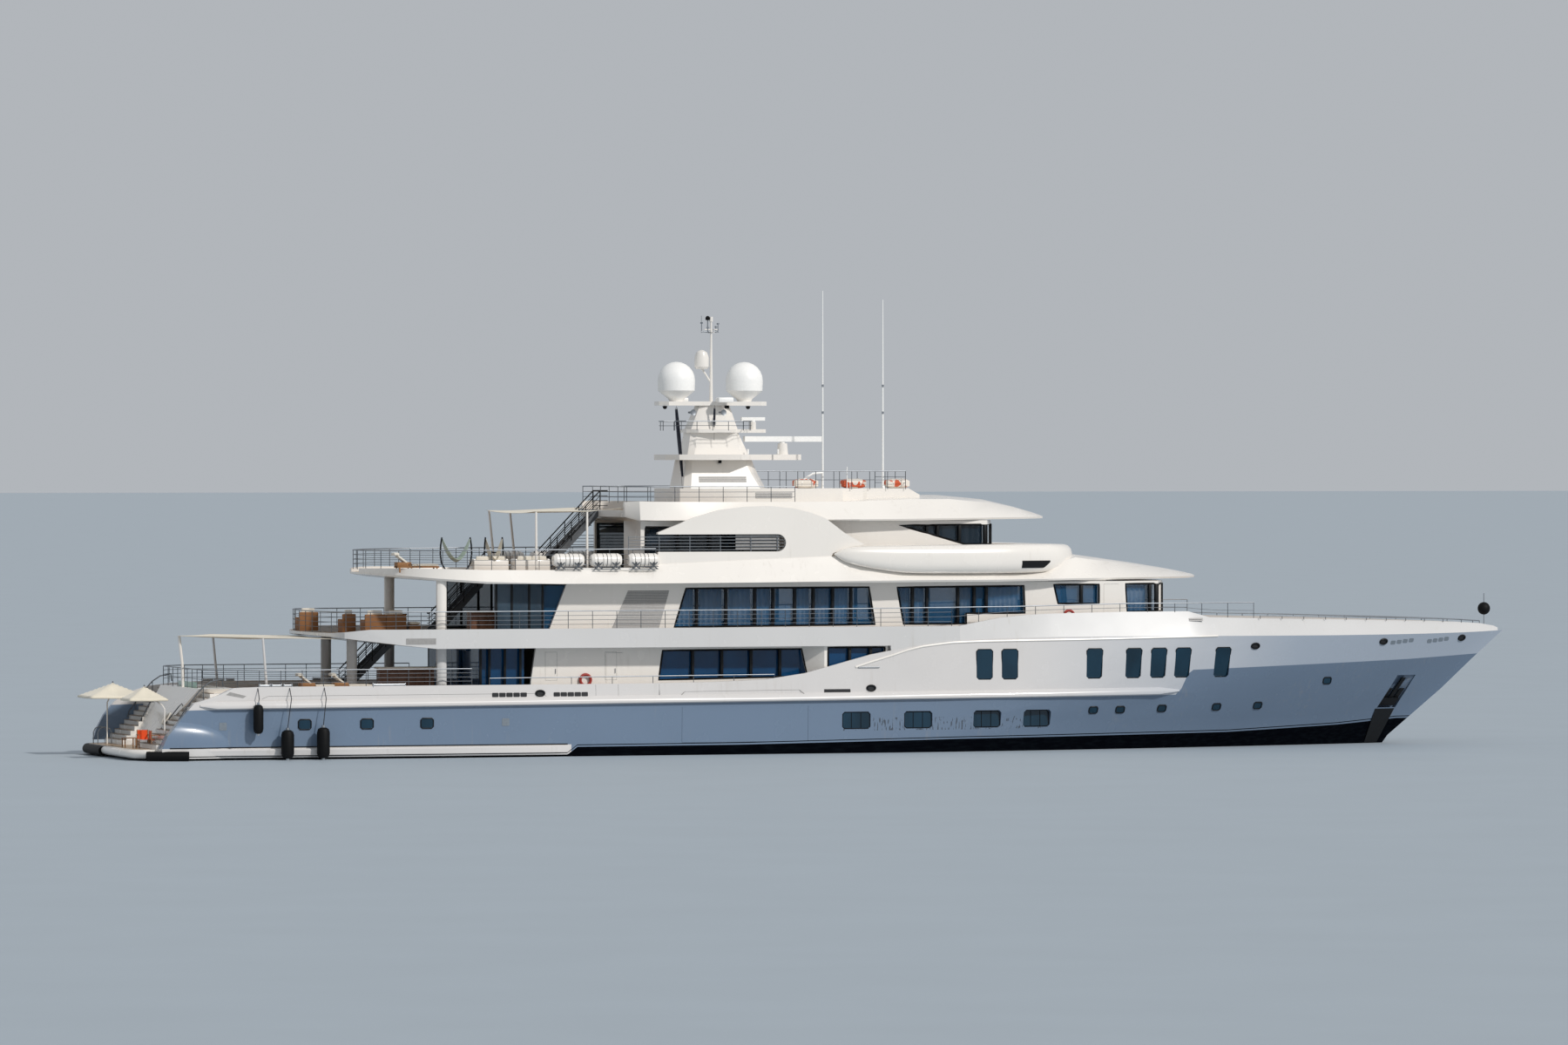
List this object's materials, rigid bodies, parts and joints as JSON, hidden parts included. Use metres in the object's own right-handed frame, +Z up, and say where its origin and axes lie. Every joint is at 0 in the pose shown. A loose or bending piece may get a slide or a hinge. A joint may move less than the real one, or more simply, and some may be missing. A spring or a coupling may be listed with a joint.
{
  "type": "half-scale motor yacht model",
  "caption": "Displacement motor yacht with a raked bow, stepped superstructure, swim platform, hinged shell and side doors, propellers, rudders, fins and a radar mast.",
  "frame": {"origin": "amidships on the centreline, at the waterline", "axes": "+X forward to the bow, +Y to port, +Z up"},
  "size_m": [37.585, 6.67, 13.6315],
  "materials": {
    "hull_paint": "gloss, pearl white",
    "white_paint": "gloss, warm white",
    "dark_glass": "tinted",
    "steel": "polished",
    "bronze": "cast and polished",
    "antenna_white": "satin",
    "canvas": "woven awning cloth, cream",
    "rubber": "matt black"
  },
  "bodies": {
    "ship": {"hull": "hull_paint", "swim_platform": "white_paint", "transom": "white_paint", "forecastle": "white_paint", "main_deck_house": "white_paint", "main_deck_glazing": "dark_glass", "saloon_screen": "dark_glass", "upper_deck": "white_paint", "upper_deck_house": "white_paint", "bridge_deck": "white_paint", "bridge_house": "white_paint", "sun_deck_roof": "white_paint", "mast_lower": "white_paint", "mast_upper_trunk": "white_paint", "mast_top_platform": "white_paint", "dome_aft": "antenna_white", "dome_fore": "antenna_white", "main_deck_stair": "steel", "upper_deck_stair": "steel", "arch_starboard": "white_paint", "arch_port": "white_paint", "shaft_starboard": "steel", "shaft_port": "steel", "anchor_starboard": "steel", "anchor_port": "steel", "upper_deck_house_front": "white_paint", "upper_deck_glazing_starboard": "dark_glass", "upper_deck_glazing_port": "dark_glass", "upper_deck_glazing_front": "dark_glass", "bridge_glazing_starboard": "dark_glass", "bridge_glazing_port": "dark_glass", "bridge_glazing_front": "dark_glass", "bridge_deck_stair": "steel", "awning_aft": "canvas", "awning_bridge": "canvas", "parasol_port": "canvas", "parasol_starboard": "canvas", "fender_1": "rubber", "fender_2": "rubber", "fender_3": "rubber", "whip_antenna": "antenna_white", "upper_deck_screen": "dark_glass"},
    "propeller_starboard": {"propeller_starboard": "bronze"},
    "propeller_port": {"propeller_port": "bronze"},
    "bow_thruster": {"bow_thruster": "bronze"},
    "rudder_starboard": {"rudder_starboard": "hull_paint"},
    "rudder_port": {"rudder_port": "hull_paint"},
    "fin_starboard": {"stabiliser_fin_starboard": "hull_paint"},
    "fin_port": {"stabiliser_fin_port": "hull_paint"},
    "garage_door_starboard": {"garage_door_starboard": "hull_paint"},
    "garage_door_port": {"garage_door_port": "hull_paint"},
    "transom_door": {"transom_door": "white_paint"},
    "main_side_door_starboard": {"main_side_door_starboard": "white_paint"},
    "main_side_door_port": {"main_side_door_port": "white_paint"},
    "upper_side_door_starboard": {"upper_side_door_starboard": "white_paint"},
    "upper_side_door_port": {"upper_side_door_port": "white_paint"},
    "saloon_door_starboard": {"saloon_door_starboard": "dark_glass"},
    "saloon_door_port": {"saloon_door_port": "dark_glass"},
    "radar_large": {"radar_large": "antenna_white"},
    "radar_small": {"radar_small": "antenna_white"}
  },
  "joints": [
    {"name": "propeller_starboard_spin", "type": "hinge", "parent": "ship", "child": "propeller_starboard", "pos_m": [-14.2, -1.35, -1.3], "axis": [1, 0, 0], "continuous": true},
    {"name": "propeller_port_spin", "type": "hinge", "parent": "ship", "child": "propeller_port", "pos_m": [-14.2, 1.35, -1.3], "axis": [1, 0, 0], "continuous": true},
    {"name": "bow_thruster_spin", "type": "hinge", "parent": "ship", "child": "bow_thruster", "pos_m": [11.8, -0.16, -1.05], "axis": [0, 1, 0], "continuous": true},
    {"name": "rudder_starboard_turn", "type": "hinge", "parent": "ship", "child": "rudder_starboard", "pos_m": [-15.2, -1.35, -1.2], "axis": [0, 0, 1], "range_deg": [-35, 35]},
    {"name": "rudder_port_turn", "type": "hinge", "parent": "ship", "child": "rudder_port", "pos_m": [-15.2, 1.35, -1.2], "axis": [0, 0, 1], "range_deg": [-35, 35]},
    {"name": "fin_starboard_turn", "type": "hinge", "parent": "ship", "child": "fin_starboard", "pos_m": [-0.75, -2.475, -1.375], "axis": [0, -0.788, -0.6157], "range_deg": [-20, 20]},
    {"name": "fin_port_turn", "type": "hinge", "parent": "ship", "child": "fin_port", "pos_m": [-0.75, 2.475, -1.375], "axis": [0, 0.788, -0.6157], "range_deg": [-20, 20]},
    {"name": "garage_door_starboard_lift", "type": "hinge", "parent": "ship", "child": "garage_door_starboard", "pos_m": [-3.18, -2.995, 1.1996], "axis": [-1, 0, 0], "range_deg": [0, 85]},
    {"name": "garage_door_port_lift", "type": "hinge", "parent": "ship", "child": "garage_door_port", "pos_m": [-3.18, 2.995, 1.1996], "axis": [1, 0, 0], "range_deg": [0, 85]},
    {"name": "transom_door_lift", "type": "hinge", "parent": "ship", "child": "transom_door", "pos_m": [-17.1675, 0, 1.4246], "axis": [0, 1, 0], "range_deg": [0, 55]},
    {"name": "main_side_door_starboard_swing", "type": "hinge", "parent": "ship", "child": "main_side_door_starboard", "pos_m": [-6.1754, -2.375, 2], "axis": [0, 0, 1], "range_deg": [0, 90]},
    {"name": "main_side_door_port_swing", "type": "hinge", "parent": "ship", "child": "main_side_door_port", "pos_m": [-6.1754, 2.375, 2], "axis": [0, 0, -1], "range_deg": [0, 90]},
    {"name": "upper_side_door_starboard_swing", "type": "hinge", "parent": "ship", "child": "upper_side_door_starboard", "pos_m": [7.0096, -2.3, 3.6], "axis": [0, 0, 1], "range_deg": [0, 90]},
    {"name": "upper_side_door_port_swing", "type": "hinge", "parent": "ship", "child": "upper_side_door_port", "pos_m": [7.0096, 2.3, 3.6], "axis": [0, 0, -1], "range_deg": [0, 90]},
    {"name": "saloon_door_starboard_slide", "type": "slide", "parent": "ship", "child": "saloon_door_starboard", "axis": [0, -1, 0], "range_m": [0, 0.6]},
    {"name": "saloon_door_port_slide", "type": "slide", "parent": "ship", "child": "saloon_door_port", "axis": [0, 1, 0], "range_m": [0, 0.6]},
    {"name": "radar_large_turn", "type": "hinge", "parent": "ship", "child": "radar_large", "pos_m": [-1.235, 0, 7.8], "axis": [0, 0, 1], "continuous": true},
    {"name": "radar_small_turn", "type": "hinge", "parent": "ship", "child": "radar_small", "pos_m": [-2.025, 0, 8.33], "axis": [0, 0, 1], "continuous": true}
  ]
}
